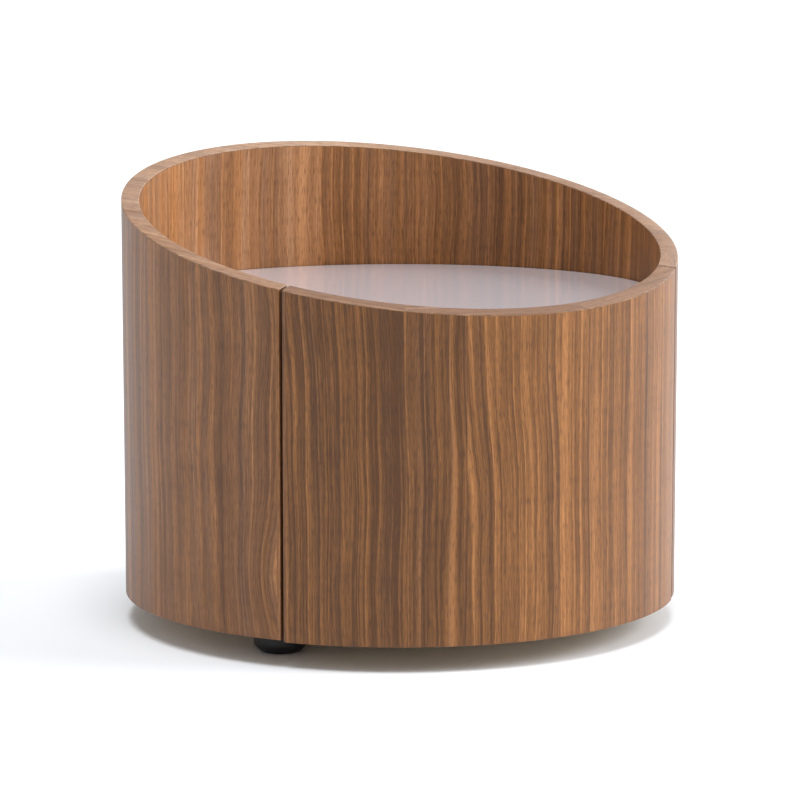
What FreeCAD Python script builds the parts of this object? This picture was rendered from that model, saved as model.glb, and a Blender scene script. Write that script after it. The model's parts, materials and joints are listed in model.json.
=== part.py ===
import FreeCAD, Part
import math
import os
import re

import Sketcher
from FreeCAD import Placement, Rotation, Vector

# A round bedside cabinet: a bent-plywood shell cut off by a slanted plane, with one drawer whose curved
# front closes the shell. Z is up, the origin is on the floor under the cabinet's axis, and the drawer
# opens towards -Y. Lengths are in millimetres and angles in degrees.

SIZES = {
    "outer_radius": (250, "outside of the round shell"),
    "wall": (16, "shell and drawer front, bent plywood"),
    "foot_rise": (24, "floor to the underside of the shell"),
    "rim_height": (359, "floor to the slanted rim, on the cabinet's axis"),
    "rim_slope": (13, "fall of the rim towards the front"),
    "rim_band": (1, "veneer band on the rim"),
    "seam_half": (50.5, "middle of the seam beside the drawer front, from the front centre"),
    "seam_gap": (0.6, "opening of each seam, as an angle"),
    "lipping": (3, "solid strip on each upright edge at a seam"),
    "edge_round": (0.8, "rounding of the rim's edges"),
    "lip_round": (1.2, "rounding of an upright edge"),
    "corner_round": (2.4, "lower corners of the drawer front"),
    "front_drop": (1.5, "drawer front below the shell"),
    "push_travel": (2, "push that opens the drawer"),
    "board": (18, "base panel and top board"),
    "board_recess": (5, "base panel above the shell's lower edge"),
    "glue_gap": (0.1, "boards inside the shell"),
    "front_room": (2.5, "boards short of the drawer front"),
    "table_height": (296, "floor to the face of the glass"),
    "glass": (6, "glass top"),
    "glass_gap": (0.5, "glass inside the shell"),
    "glass_bevel": (0.8, "ground edge of the glass"),
    "pad": (1, "silicone dots under the glass"),
    "pad_radius": (6, "silicone dots"),
    "pad_ring": (190, "dots from the cabinet's axis"),
    "partition": (16, "upright beside the drawer"),
    "bay_half": (164, "half the width between the partitions"),
    "bay_front": (146, "front edge of a partition, before the axis"),
    "edge_band": (1, "veneer band on a partition's front edge"),
    "divider_front": (138, "front of the rear divider, behind the axis"),
    "divider": (16, "rear divider"),
    "runner_width": (12.7, "room that a runner takes beside the drawer"),
    "box_side": (12, "sides and back of the drawer box"),
    "box_rear": (126.7, "back of the drawer box, behind the axis"),
    "box_foot": (62, "floor to the drawer box"),
    "box_height": (160, "drawer box"),
    "box_round": (2, "upper edges of the drawer box"),
    "tray": (8, "drawer bottom"),
    "tray_foot": (72, "floor to the drawer bottom"),
    "groove": (6, "depth of the groove for the drawer bottom"),
    "groove_gap": (0.1, "drawer bottom inside its groove"),
    "batten": (20, "width of the corner battens"),
    "batten_rear": (178, "back of the battens, before the axis"),
    "batten_foot": (82, "floor to the battens"),
    "batten_height": (120, "corner battens"),
    "rail_axis": (112, "floor to the middle of the runners"),
    "rail_rear": (107, "rear end of the runners, behind the axis"),
    "rail_length": (250, "runner"),
    "rail_steel": (1.2, "runner members"),
    "cage_steel": (0.7, "ball cages"),
    "cage_length": (100, "ball cages"),
    "cage_rear": (32.5, "rear end of the ball cages, behind the axis"),
    "ball": (1.75, "radius of a bearing ball"),
    "ball_pitch": (16, "from one ball to the next"),
    "ball_depth": (7.3, "ball centre from the partition"),
    "latch_height": (142, "floor to the middle of the push latch"),
    "latch_length": (50, "latch barrel behind the divider's face"),
    "latch_barrel": (5, "radius of the latch barrel"),
    "latch_flange": (7, "radius of the latch flange"),
    "latch_wall": (1.8, "latch barrel"),
    "flange": (1.5, "latch flange"),
    "plunger": (3, "radius of the latch plunger"),
    "plunger_pin": (2, "radius of the pin inside the latch spring"),
    "plunger_length": (32.4, "plunger without its pin"),
    "pin_length": (10, "pin inside the latch spring"),
    "plunger_tip": (130.6, "front of the rubber tip, behind the axis"),
    "tip": (2, "rubber tip"),
    "strike": (1.5, "strike plate"),
    "spring_wire": (0.3, "radius of the latch spring's wire"),
    "spring_coil": (2.6, "middle of the spring's wire from the latch's axis"),
    "strike_half": (14, "half the side of the strike plate"),
    "foot_ring": (190, "foot from the cabinet's axis"),
    "foot_top": (24.5, "foot radius where it meets the base"),
    "foot_waist": (23.4, "foot radius where it turns in"),
    "foot_turn": (6, "height where the foot turns in"),
    "foot_base": (17, "foot radius on the floor"),
    "foot_round": (7, "rounding of the turn"),
    "sole_round": (3, "rounding at the floor"),
    "foot_sink": (5.4, "radius of the sinking for the foot's screw"),
    "sink_depth": (10, "depth of the sinking for the foot's screw"),
    "foot_bore": (2.4, "radius of the foot's screw hole"),
    "dowel": (4, "radius of a carcass dowel"),
    "dowel_length": (24, "carcass dowel"),
    "dowel_cover": (6, "shell left outside the end of a dowel"),
    "box_dowel": (3, "radius of a drawer dowel"),
    "box_dowel_length": (25, "drawer dowel"),
    "box_dowel_start": (17, "inner end of a drawer dowel, inside the drawer side"),
    "drill_gap": (0.05, "hole wider than its dowel or screw"),
    "reach": (420, "cutting outlines reach past every edge"),
}
SIDES = {"left": -1, "right": 1}

# Places of the dowels and screws. Angles are from the back centre, and lengths from the axis or the floor.
SHELL_DOWEL_ANGLES = (-100, -65, -33, 0, 33, 65, 100)
PARTITION_DOWELS_Y = (-115, 0, 115)
DIVIDER_DOWELS_X = (-90, 90)
RUNNER_SCREWS_Y = (-128, -18, 92)
STRIKE_SCREWS_X = (-9, 9)
BOX_DOWELS_Z = (98, 164, 198)
FRONT_SCREWS_Z = (102, 182)
SIDE_SCREWS_Z = (128, 156)
SIDE_SCREW_SETBACK = 6
FOOT_ANGLES = {"front_left": 120, "front_right": -120, "rear": 0}

# Countersunk screws: radius of the head, its depth, radius of the shank, length, reach of the cross recess.
SCREWS = {
    "rail_screw": ("3.3", "1.1", "1.6", "11", "1.8"),
    "strike_screw": ("2.6", "1.2", "1.4", "9", "1.4"),
    "batten_screw": ("3.6", "2.2", "1.75", "28", "2"),
}
# The foot's round-headed screw: radius of the head, its height, radius of the shank, and length.
FOOT_SCREW = ("4.6", "3.2", "2.25", "32")
BALLS_IN_ROW = 6
SPRING_TURNS = 7
WIRE_SIDES = 8

# Edges of the openings at the seams, as angles from the front centre.
SHELL_EDGE = "(seam_half + seam_gap / 2)"
FRONT_EDGE = "(seam_half - seam_gap / 2)"
LIP_ANGLE = "(lipping / outer_radius * 180 / pi)"
INNER_RADIUS = "(outer_radius - wall)"
BASE_FOOT = "(foot_rise + board_recess)"
BAY_FOOT = "(foot_rise + board_recess + board)"
BAY_TOP = "(table_height - glass - pad - board)"
BAY_HEIGHT = f"{BAY_TOP} - {BAY_FOOT}"
BOX_HALF = "(bay_half - runner_width)"
BOX_INNER = "(bay_half - runner_width - box_side)"

doc = FreeCAD.newDocument("bedside_cabinet")


def fill_sheet():
    """Puts the sizes into the document's sheet and gives back their values as the sheet holds them."""
    sheet = doc.addObject("Spreadsheet::Sheet", "Sizes")
    for row, (name, (value, meaning)) in enumerate(SIZES.items(), start=1):
        sheet.set(f"A{row}", name)
        sheet.set(f"B{row}", str(value))
        sheet.set(f"C{row}", meaning)
        sheet.setAlias(f"B{row}", name)
    doc.recompute()
    return {name: sheet.get(name) for name in SIZES}


SIZE = fill_sheet()


def bound(expression):
    """The expression with each size's name pointing at its cell."""

    def point(word):
        return f"Sizes.{word[0]}" if word[0] in SIZES else word[0]

    return re.sub(r"[a-z_]+", point, expression)


def place(x=0, y=0, z=0, axis=(0, 0, 1), turn=0):
    return Placement(Vector(x, y, z), Rotation(Vector(*axis), turn))


# ---- sketches and features ----


def new_body(label):
    body = doc.addObject("PartDesign::Body", label)
    body.Label = label
    return body


def new_sketch(body, plane, lift="0"):
    """A sketch on one of the body's own origin planes, moved along the plane's normal by lift."""
    sketch = body.newObject("Sketcher::SketchObject", body.Name + "_sketch")
    planes = {feature.Role: feature for feature in body.Origin.OriginFeatures}
    sketch.AttachmentSupport = [(planes[plane + "_Plane"], "")]
    sketch.MapMode = "FlatFace"
    sketch.setExpression("AttachmentOffset.Base.z", bound(lift))
    return sketch


def dimension(sketch, kind, name, expression, *target):
    """A named dimension of the sketch, bound to the sheet."""
    sketch.addConstraint(Sketcher.Constraint(kind, *target, 1.0))
    sketch.renameConstraint(sketch.ConstraintCount - 1, name)
    sketch.setExpression("Constraints." + name, bound(expression))


def add_outline(sketch, corners):
    """A closed outline of straight lines through corners given as pairs of expressions."""
    first, count = sketch.GeometryCount, len(corners)
    ring = [
        Vector(math.cos(math.tau * i / count), math.sin(math.tau * i / count), 0) * 10
        for i in range(count)
    ]
    for i in range(count):
        sketch.addGeometry(Part.LineSegment(ring[i], ring[(i + 1) % count]), False)
    for i in range(count):
        follower = first + (i + 1) % count
        sketch.addConstraint(Sketcher.Constraint("Coincident", first + i, 2, follower, 1))
    for i, (x, y) in enumerate(corners):
        dimension(sketch, "DistanceX", f"x{first + i}", x, -1, 1, first + i, 1)
        dimension(sketch, "DistanceY", f"y{first + i}", y, -1, 1, first + i, 1)


def add_circle(sketch, radius, y="0"):
    line = sketch.addGeometry(Part.Circle(Vector(0, 0, 0), Vector(0, 0, 1), 1), False)
    dimension(sketch, "Radius", f"radius{line}", radius, line)
    dimension(sketch, "DistanceX", f"x{line}", "0", -1, 1, line, 3)
    dimension(sketch, "DistanceY", f"y{line}", y, -1, 1, line, 3)


def rectangle(x0, x1, y0, y1):
    return [(x0, y0), (x1, y0), (x1, y1), (x0, y1)]


def add_pad(body, sketch, length):
    pad = body.newObject("PartDesign::Pad", body.Name + "_pad")
    pad.Profile = sketch
    pad.setExpression("Length", bound(length))


def cut_through(body, sketch):
    """Cuts the sketch through the whole body, both ways."""
    pocket = body.newObject("PartDesign::Pocket", body.Name + "_pocket")
    pocket.Profile = sketch
    pocket.Type = "ThroughAll"
    pocket.SideType = "Symmetric"


def cut_outline(body, plane, corners):
    sketch = new_sketch(body, plane)
    add_outline(sketch, corners)
    cut_through(body, sketch)


def cut_outside(body, radius, y="0"):
    """Cuts away all that lies outside an upright cylinder."""
    sketch = new_sketch(body, "XY")
    add_circle(sketch, radius, y)
    add_circle(sketch, "reach")
    cut_through(body, sketch)


def revolve(body, corners, plane="XY"):
    """Turns an outline about the sketch's upright axis."""
    sketch = new_sketch(body, plane)
    add_outline(sketch, corners)
    turned = body.newObject("PartDesign::Revolution", body.Name + "_turned")
    turned.Profile = sketch
    turned.ReferenceAxis = (sketch, ["V_Axis"])
    turned.Angle = 360


def soften(body, radius, wanted, kind="Fillet"):
    """Rounds or bevels the edges of the body for which wanted(edge) is true."""
    doc.recompute()
    base = body.Tip
    names = [f"Edge{i}" for i, edge in enumerate(base.Shape.Edges, start=1) if wanted(edge)]
    softened = body.newObject("PartDesign::" + kind, body.Name + "_" + kind.lower())
    softened.Base = (base, names)
    softened.setExpression("Radius" if kind == "Fillet" else "Size", bound(radius))


def block(label, x0, x1, y0, y1, foot, height):
    """A straight board or strip with upright sides."""
    body = new_body(label)
    sketch = new_sketch(body, "XY", foot)
    add_outline(sketch, rectangle(x0, x1, y0, y1))
    add_pad(body, sketch, height)
    return body


# ---- dowels, screws and other repeated pieces ----


def group(label, template, places):
    """Copies of one template at many places, as one node of separate solids."""
    links = []
    for spot in places:
        link = doc.addObject("App::Link", label + "_copy")
        link.LinkedObject = template
        link.LinkTransform = True
        link.Placement = spot
        links.append(link)
    together = doc.addObject("Part::Compound", label)
    together.Label = label
    together.Links = links
    return together


def drilled(label, blank, *drills):
    """The blank with holes where the drills are."""
    blank.Label = label + "_blank"
    tool = drills[0]
    if len(drills) > 1:
        tool = doc.addObject("Part::Compound", label + "_drills")
        tool.Links = list(drills)
    cut = doc.addObject("Part::Cut", label)
    cut.Label = label
    cut.Base = blank
    cut.Tool = tool
    return cut


def rod(label, radius, length):
    """A straight rod along +Z from its origin, and the drill for it."""
    pieces = []
    for suffix, gap in (("", "0"), ("_drill", "drill_gap")):
        cylinder = doc.addObject("Part::Cylinder", label + suffix)
        cylinder.setExpression("Radius", bound(f"{radius} + {gap}"))
        cylinder.setExpression("Height", bound(f"{length} + 2 * {gap}"))
        cylinder.setExpression("Placement.Base.z", bound(f"-{gap}"))
        pieces.append(cylinder)
    return pieces


def screw(label, head, sunk, shank, length, recess):
    """A screw that points down -Z with the top of its head at the origin, and the drill for it."""
    body = new_body(label)
    point = f"{shank} * 2 - {length}"
    corners = [("0", "0"), (head, "0"), (shank, f"-{sunk}"), (shank, point), ("0", f"-{length}")]
    revolve(body, corners, "XZ")
    for arm in (("1", "0.3"), ("0.3", "1")):
        half = [f"{recess} * {share}" for share in arm]
        sketch = new_sketch(body, "XY")
        add_outline(sketch, rectangle("-" + half[0], half[0], "-" + half[1], half[1]))
        pocket = body.newObject("PartDesign::Pocket", label + "_recess")
        pocket.Profile = sketch
        pocket.setExpression("Length", f"{sunk} * 0.8")
    drill = new_body(label + "_drill")
    wide, deep = f"{head} + drill_gap", f"-{length} - drill_gap"
    thick = f"{shank} + drill_gap"
    corners = [("0", "1"), (wide, "1"), (wide, "0"), (thick, f"-{sunk}"), (thick, deep), ("0", deep)]
    revolve(drill, corners, "XZ")
    return body, drill


def pan_screw(label, head, rise, shank, length):
    """A round-headed screw that points up +Z, its head's bearing face at the origin, and its drill."""
    body = new_body(label)
    point = f"{length} - {shank} * 2"
    corners = [("0", f"-{rise}"), (f"{head} * 0.7", f"-{rise}"), (head, f"-{rise} * 0.4"), (head, "0")]
    corners += [(shank, "0"), (shank, point), ("0", length)]
    revolve(body, corners, "XZ")
    drill = doc.addObject("Part::Cylinder", label + "_drill")
    drill.setExpression("Radius", bound(f"{shank} + drill_gap"))
    drill.setExpression("Height", bound(f"{length} + drill_gap"))
    return body, drill


# ---- the round shell and the curved drawer front ----


def along(angle, side=1):
    """The point far out at an angle from the front centre, towards +X for side 1."""
    return f"{side} * reach * sin({angle})", f"-reach * cos({angle})"


def slant(y, below="0"):
    """Height of the rim plane at y, less a depth measured square to the plane."""
    return f"rim_height + {y} * tan(rim_slope) - {below} / cos(rim_slope)"


def cut_above_rim(body, below="0"):
    corners = [("-reach", slant("-reach", below)), ("reach", slant("reach", below))]
    cut_outline(body, "YZ", corners + [("reach", "reach * 2"), ("-reach", "reach * 2")])


def cut_below_rim(body, below):
    corners = [("-reach", slant("-reach", below)), ("reach", slant("reach", below))]
    cut_outline(body, "YZ", corners + [("reach", "-reach"), ("-reach", "-reach")])


def ring(label, foot):
    """A tube as thick as the shell, from foot up past the rim."""
    body = new_body(label)
    sketch = new_sketch(body, "XY", foot)
    add_circle(sketch, "outer_radius")
    add_circle(sketch, INNER_RADIUS)
    add_pad(body, sketch, "reach")
    return body


def cut_front(body, angle):
    """Opens the ring at the front, up to an angle on each side."""
    cut_outline(body, "XY", [("0", "0"), along(angle, -1), along(angle)])


def keep_front(body, angle):
    """Leaves only the front of the ring, up to an angle on each side."""
    behind = [("reach", "reach"), ("-reach", "reach")]
    cut_outline(body, "XY", [("0", "0"), along(angle)] + behind + [along(angle, -1)])


def keep_strip(body, near, far, side):
    """Leaves only a strip of the ring between two angles on one side."""
    around = [(f"{side} * reach", "reach"), (f"{-side} * reach", "reach"), (f"{-side} * reach", "-reach")]
    cut_outline(body, "XY", [("0", "0"), along(far, side)] + around + [along(near, side)])


def is_rim_edge(edge):
    """An edge on the rim plane: every point at the plane's height."""
    slope = math.tan(math.radians(SIZE["rim_slope"]))
    points = [edge.valueAt(p) for p in (edge.FirstParameter, edge.LastParameter)]
    points.append(edge.valueAt((edge.FirstParameter + edge.LastParameter) / 2))
    return all(abs(p.z - SIZE["rim_height"] - p.y * slope) < 0.01 for p in points)


def radius_of(point):
    return math.hypot(point.x, point.y)


def is_upright_outer(edge):
    ends = [vertex.Point for vertex in edge.Vertexes]
    upright = len(ends) == 2 and abs(ends[0].z - ends[1].z) > 50
    return upright and abs(radius_of(ends[0]) - SIZE["outer_radius"]) < 0.01


def seam_side(angle):
    """Tells whether a point lies on the seam plane at this angle from the front centre."""
    return lambda p: abs(math.degrees(math.atan2(abs(p.x), -p.y)) - angle) < 0.01


def make_wall():
    """The shell, the drawer front, their rim bands and the strips on their upright edges."""
    shell = ring("curved_shell", "foot_rise")
    cut_front(shell, f"{SHELL_EDGE} + {LIP_ANGLE}")
    cut_above_rim(shell, "rim_band")

    front = ring("drawer_front", "foot_rise - front_drop")
    keep_front(front, f"{FRONT_EDGE} - {LIP_ANGLE}")
    cut_above_rim(front, "rim_band")

    shell_band = ring("shell_rim_band", "foot_rise")
    cut_front(shell_band, SHELL_EDGE)
    front_band = ring("front_rim_band", "foot_rise")
    keep_front(front_band, FRONT_EDGE)
    for band in (shell_band, front_band):
        cut_above_rim(band)
        cut_below_rim(band, "rim_band")
        soften(band, "edge_round", is_rim_edge)

    half_gap = SIZE["seam_gap"] / 2
    for name, side in SIDES.items():
        lip = ring("shell_lipping_" + name, "foot_rise")
        keep_strip(lip, SHELL_EDGE, f"{SHELL_EDGE} + {LIP_ANGLE}", side)
        cut_above_rim(lip, "rim_band")
        at_seam = seam_side(SIZE["seam_half"] + half_gap)
        soften(lip, "lip_round", lambda e: is_upright_outer(e) and at_seam(e.Vertexes[0].Point))

        lip = ring("front_lipping_" + name, "foot_rise - front_drop")
        keep_strip(lip, f"{FRONT_EDGE} - {LIP_ANGLE}", FRONT_EDGE, side)
        cut_above_rim(lip, "rim_band")
        at_front = seam_side(SIZE["seam_half"] - half_gap)
        foot = SIZE["foot_rise"] - SIZE["front_drop"]
        soften(
            lip,
            "corner_round",
            lambda e: all(abs(v.Point.z - foot) < 0.01 and at_front(v.Point) for v in e.Vertexes),
        )
        soften(lip, "lip_round", lambda e: is_upright_outer(e) and at_front(e.Vertexes[0].Point))
    return shell


# ---- round boards, glass and partitions ----


def round_board(label, foot, thickness, radius):
    """A disc that stops short of the drawer front by front_room."""
    body = new_body(label)
    sketch = new_sketch(body, "XY", foot)
    add_circle(sketch, radius)
    add_pad(body, sketch, thickness)
    cut_outside(body, radius, "front_room")
    return body


def is_flat_rim(height):
    return lambda e: all(abs(v.Point.z - height) < 0.01 for v in e.Vertexes)


def make_glass():
    glass = round_board("glass_top", "table_height - glass", "glass", f"{INNER_RADIUS} - glass_gap")
    for height in (SIZE["table_height"], SIZE["table_height"] - SIZE["glass"]):
        soften(glass, "glass_bevel", is_flat_rim(height), "Chamfer")
    dot = doc.addObject("Part::Cylinder", "pad_template")
    dot.setExpression("Radius", bound("pad_radius"))
    dot.setExpression("Height", bound("pad"))
    foot = SIZE["table_height"] - SIZE["glass"] - SIZE["pad"]
    first = Vector(SIZE["pad_ring"], 0, foot)
    spots = [Rotation(Vector(0, 0, 1), 60 * i).multVec(first) for i in range(6)]
    group("glass_pads", dot, [Placement(spot, Rotation()) for spot in spots])


def make_partition(name, side):
    near, far = f"{side} * bay_half", f"{side} * (bay_half + partition)"
    start = "edge_band - bay_front"
    body = block("partition_" + name, near, far, start, "outer_radius", BAY_FOOT, BAY_HEIGHT)
    cut_outside(body, f"{INNER_RADIUS} - glue_gap")
    block("partition_edge_" + name, near, far, "-bay_front", start, BAY_FOOT, BAY_HEIGHT)
    return body


# ---- drawer box ----


def is_long_top(edge):
    top = SIZE["box_foot"] + SIZE["box_height"]
    return edge.Length > 100 and all(abs(v.Point.z - top) < 0.01 for v in edge.Vertexes)


def make_drawer_side(name, side):
    near, far = f"{side} * {BOX_INNER}", f"{side} * {BOX_HALF}"
    body = block("drawer_side_" + name, near, far, "-outer_radius", "box_rear", "box_foot", "box_height")
    cut_outside(body, INNER_RADIUS)
    floor = f"{side} * ({BOX_INNER} + groove)"
    cut_outline(body, "XZ", rectangle(f"{side}", floor, "tray_foot", "tray_foot + tray"))
    soften(body, "box_round", is_long_top)
    return body


def make_drawer_back():
    face = "box_rear - box_side"
    body = block("drawer_back", f"-{BOX_INNER}", BOX_INNER, face, "box_rear", "box_foot", "box_height")
    floor = "box_rear - box_side + groove"
    cut_outline(body, "YZ", rectangle("0", floor, "tray_foot", "tray_foot + tray"))
    soften(body, "box_round", is_long_top)
    return body


def make_drawer_bottom():
    half = f"({BOX_INNER} + groove - groove_gap)"
    rear = "box_rear - box_side + groove - groove_gap"
    foot, thick = "tray_foot + groove_gap", "tray - 2 * groove_gap"
    body = block("drawer_bottom", f"-{half}", half, "-outer_radius", rear, foot, thick)
    cut_outside(body, INNER_RADIUS)


def make_batten(name, side):
    """A block that ties a side of the drawer box to the curved front."""
    near, far = f"{side} * ({BOX_INNER} - batten)", f"{side} * {BOX_INNER}"
    label = "front_batten_" + name
    body = block(label, near, far, "-outer_radius", "-batten_rear", "batten_foot", "batten_height")
    cut_outside(body, INNER_RADIUS)
    return body


# ---- runners: three nested channels on each side, with two cages of balls between them ----

# name: depth of the web's back from the partition, depth of the flange's end, half height
CHANNELS = {
    "runner_outer_": ("0", "10.2", "22.75"),
    "runner_middle_": ("3.2", "10.4", "18"),
    "runner_inner_": ("runner_width", "5.9", "13.25"),
}
CAGES = {"outer_cage_": ("1.8", "9.6", "20.125"), "inner_cage_": ("4.8", "9.6", "15.375")}


def channel(label, side, web, lip, half, steel, rear, length):
    """A channel along Y: an upright web with a flange above and below that reach to the lip."""
    body = new_body(label)
    sketch = new_sketch(body, "XZ", f"-{rear}")
    inward = 1 if label.startswith("runner_inner") else -1
    back, face, end = [f"{side} * (bay_half - {u})" for u in (web, f"({web} - {inward} * {steel})", lip)]
    high, low = f"rail_axis + {half}", f"rail_axis - {half}"
    corners = [(back, high), (end, high), (end, f"{high} - {steel}"), (face, f"{high} - {steel}")]
    corners += [(face, f"{low} + {steel}"), (end, f"{low} + {steel}"), (end, low), (back, low)]
    add_outline(sketch, corners)
    add_pad(body, sketch, length)
    return body


def make_runner(name, side, ball, ball_hole):
    members = {}
    for label, (web, lip, half) in CHANNELS.items():
        steel = "rail_steel"
        members[label] = channel(label + name, side, web, lip, half, steel, "rail_rear", "rail_length")
    for label, (web, lip, half) in CAGES.items():
        cage = channel(label + name, side, web, lip, half, "cage_steel", "cage_rear", "cage_length")
        x = side * (SIZE["bay_half"] - SIZE["ball_depth"])
        lift = float(half) - SIZE["cage_steel"] / 2
        rows = [SIZE["rail_axis"] - lift, SIZE["rail_axis"] + lift]
        pitch = SIZE["ball_pitch"]
        first = SIZE["cage_rear"] - SIZE["cage_length"] / 2 - pitch * (BALLS_IN_ROW - 1) / 2
        spots = [place(x, first + pitch * i, z) for i in range(BALLS_IN_ROW) for z in rows]
        holes = group(label + name + "_holes", ball_hole, spots)
        drilled(label + name, cage, holes)
        group(label.replace("cage", "balls") + name, ball, spots)
    return members


# ---- push latch ----


def make_latch():
    face = "divider_front"
    rear = f"{face} + latch_length"
    bore = "latch_barrel - latch_wall"
    mouth = f"{face} - flange"
    body = new_body("latch_body")
    floor = f"{rear} - latch_wall"
    corners = [(bore, mouth), ("latch_flange", mouth), ("latch_flange", face), ("latch_barrel", face)]
    corners += [("latch_barrel", rear), ("0", rear), ("0", floor), (bore, floor)]
    revolve(body, corners)

    plunger = new_body("latch_plunger")
    start = "plunger_tip + tip"
    shoulder = f"{start} + plunger_length"
    corners = [("0", start), ("plunger", start), ("plunger", shoulder), ("plunger_pin", shoulder)]
    corners += [("plunger_pin", f"{shoulder} + pin_length"), ("0", f"{shoulder} + pin_length")]
    revolve(plunger, corners)

    tip = new_body("latch_tip")
    revolve(tip, [("0", "plunger_tip"), ("plunger", "plunger_tip"), ("plunger", start), ("0", start)])
    soften(tip, "edge_round", lambda e: abs(e.Vertexes[0].Point.y - SIZE["plunger_tip"]) < 0.01)
    for piece in (body, plunger, tip):
        piece.setExpression("Placement.Base.z", bound("latch_height"))
    make_spring()


def make_spring():
    """A coil between the plunger's shoulder and the end of the barrel, its wire clear of both."""
    wire, radius = SIZE["spring_wire"], SIZE["spring_coil"]
    clear = wire * 1.2
    start = SIZE["plunger_tip"] + SIZE["tip"] + SIZE["plunger_length"] + clear
    end = SIZE["divider_front"] + SIZE["latch_length"] - SIZE["latch_wall"] - clear
    helix = Part.makeHelix((end - start) / SPRING_TURNS, end - start, radius)
    turns = [math.tau * i / WIRE_SIDES for i in range(WIRE_SIDES)]
    corners = [Vector(radius + wire * math.cos(turn), 0, wire * math.sin(turn)) for turn in turns]
    section = Part.makePolygon(corners + corners[:1])
    coil = Part.Wire(helix.Edges).makePipeShell([section], True, True)
    spring = doc.addObject("Part::Feature", "latch_spring")
    spring.Label = "latch_spring"
    spring.Shape = coil
    spring.Placement = place(0, end, SIZE["latch_height"], (1, 0, 0), 90)


# ---- feet ----


def is_circle_at(radius, height):
    def wanted(edge):
        round_one = isinstance(edge.Curve, Part.Circle) and abs(edge.Curve.Radius - radius) < 0.01
        return round_one and abs(edge.Vertexes[0].Point.z - height) < 0.01

    return wanted


def foot_spot(angle, height=0):
    """The place of a foot's axis, at an angle from the back centre."""
    turn = math.radians(angle)
    return place(-SIZE["foot_ring"] * math.sin(turn), SIZE["foot_ring"] * math.cos(turn), height)


def make_foot(label, angle):
    body = new_body(label)
    top = BASE_FOOT
    corners = [("foot_sink", "0"), ("foot_sink", "sink_depth")]
    corners += [("foot_bore", "sink_depth"), ("foot_bore", top)]
    corners += [("foot_top", top), ("foot_top", "foot_rise")]
    corners += [("foot_waist", "foot_turn"), ("foot_base", "0")]
    revolve(body, corners, "XZ")
    soften(body, "foot_round", is_circle_at(SIZE["foot_waist"], SIZE["foot_turn"]))
    soften(body, "sole_round", is_circle_at(SIZE["foot_base"], 0))
    body.Placement = foot_spot(angle)


# ---- places of the fasteners ----


def radial_spots(height, angles, start):
    """Rods that point outwards from the axis, at angles from the back centre."""
    spots = []
    for angle in angles:
        out = Rotation(Vector(0, 0, 1), angle).multVec(Vector(0, 1, 0))
        spots.append(Placement(out * start + Vector(0, 0, height), Rotation(Vector(0, 0, 1), out)))
    return spots


def sideways(x, y, z, side):
    """A screw at x, y, z that points towards +X for side 1."""
    return place(x, y, z, (0, 1, 0), -90 * side)


bay_foot = SIZE["foot_rise"] + SIZE["board_recess"] + SIZE["board"]
bay_top = SIZE["table_height"] - SIZE["glass"] - SIZE["pad"] - SIZE["board"]
box_half = SIZE["bay_half"] - SIZE["runner_width"]
box_inner = box_half - SIZE["box_side"]

shell = make_wall()
base = round_board("base_panel", BASE_FOOT, "board", f"{INNER_RADIUS} - glue_gap")
top = round_board("top_board", BAY_TOP, "board", f"{INNER_RADIUS} - glue_gap")
make_glass()
partitions = {name: make_partition(name, side) for name, side in SIDES.items()}
divider_rear = "divider_front + divider"
divider = block(
    "rear_divider", "-bay_half", "bay_half", "divider_front", divider_rear, BAY_FOOT, BAY_HEIGHT
)

# Dowels tie the shell to both round boards, and the uprights to the boards above and below them.
dowel, dowel_drill = rod("shell_dowel", "dowel", "dowel_length")
mid_base, mid_top = bay_foot - SIZE["board"] / 2, bay_top + SIZE["board"] / 2
dowel_start = SIZE["outer_radius"] - SIZE["dowel_cover"] - SIZE["dowel_length"]
ring_spots = [
    spot for z in (mid_base, mid_top) for spot in radial_spots(z, SHELL_DOWEL_ANGLES, dowel_start)
]
group("shell_dowels", dowel, ring_spots)
ring_holes = group("shell_dowel_holes", dowel_drill, ring_spots)

middle_x = SIZE["bay_half"] + SIZE["partition"] / 2
middle_y = SIZE["divider_front"] + SIZE["divider"] / 2
post_places = [(side * middle_x, y) for side in (-1, 1) for y in PARTITION_DOWELS_Y]
post_places += [(x, middle_y) for x in DIVIDER_DOWELS_X]
half_dowel = SIZE["dowel_length"] / 2
post_spots = [place(x, y, z - half_dowel) for x, y in post_places for z in (bay_foot, bay_top)]
group("carcass_dowels", dowel, post_spots)
post_holes = group("carcass_dowel_holes", dowel_drill, post_spots)

# Screws of the runners, with their heads flush inside the channel.
rail_screw, rail_drill = screw("rail_screw", *SCREWS["rail_screw"])
outer_spots, inner_spots = [], []
for side in (-1, 1):
    for y in RUNNER_SCREWS_Y:
        web = side * (SIZE["bay_half"] - SIZE["rail_steel"])
        outer_spots.append(sideways(web, y, SIZE["rail_axis"], side))
        web = side * (box_half + SIZE["rail_steel"])
        inner_spots.append(sideways(web, y, SIZE["rail_axis"], -side))
group("runner_screws_carcass", rail_screw, outer_spots)
group("runner_screws_drawer", rail_screw, inner_spots)
outer_holes = group("runner_holes_carcass", rail_drill, outer_spots)
inner_holes = group("runner_holes_drawer", rail_drill, inner_spots)

ball = doc.addObject("Part::Sphere", "ball_template")
ball.setExpression("Radius", bound("ball"))
ball_hole = doc.addObject("Part::Cylinder", "ball_hole")
ball_hole.setExpression("Radius", bound("ball + drill_gap * 3"))
ball_hole.setExpression("Height", bound("ball * 2"))
ball_hole.setExpression("Placement.Base.z", bound("-ball"))
for name, side in SIDES.items():
    members = make_runner(name, side, ball, ball_hole)
    drilled("runner_outer_" + name, members["runner_outer_"], outer_holes)
    drilled("runner_inner_" + name, members["runner_inner_"], inner_holes)
    drilled("partition_" + name, partitions[name], post_holes, outer_holes)

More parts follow.
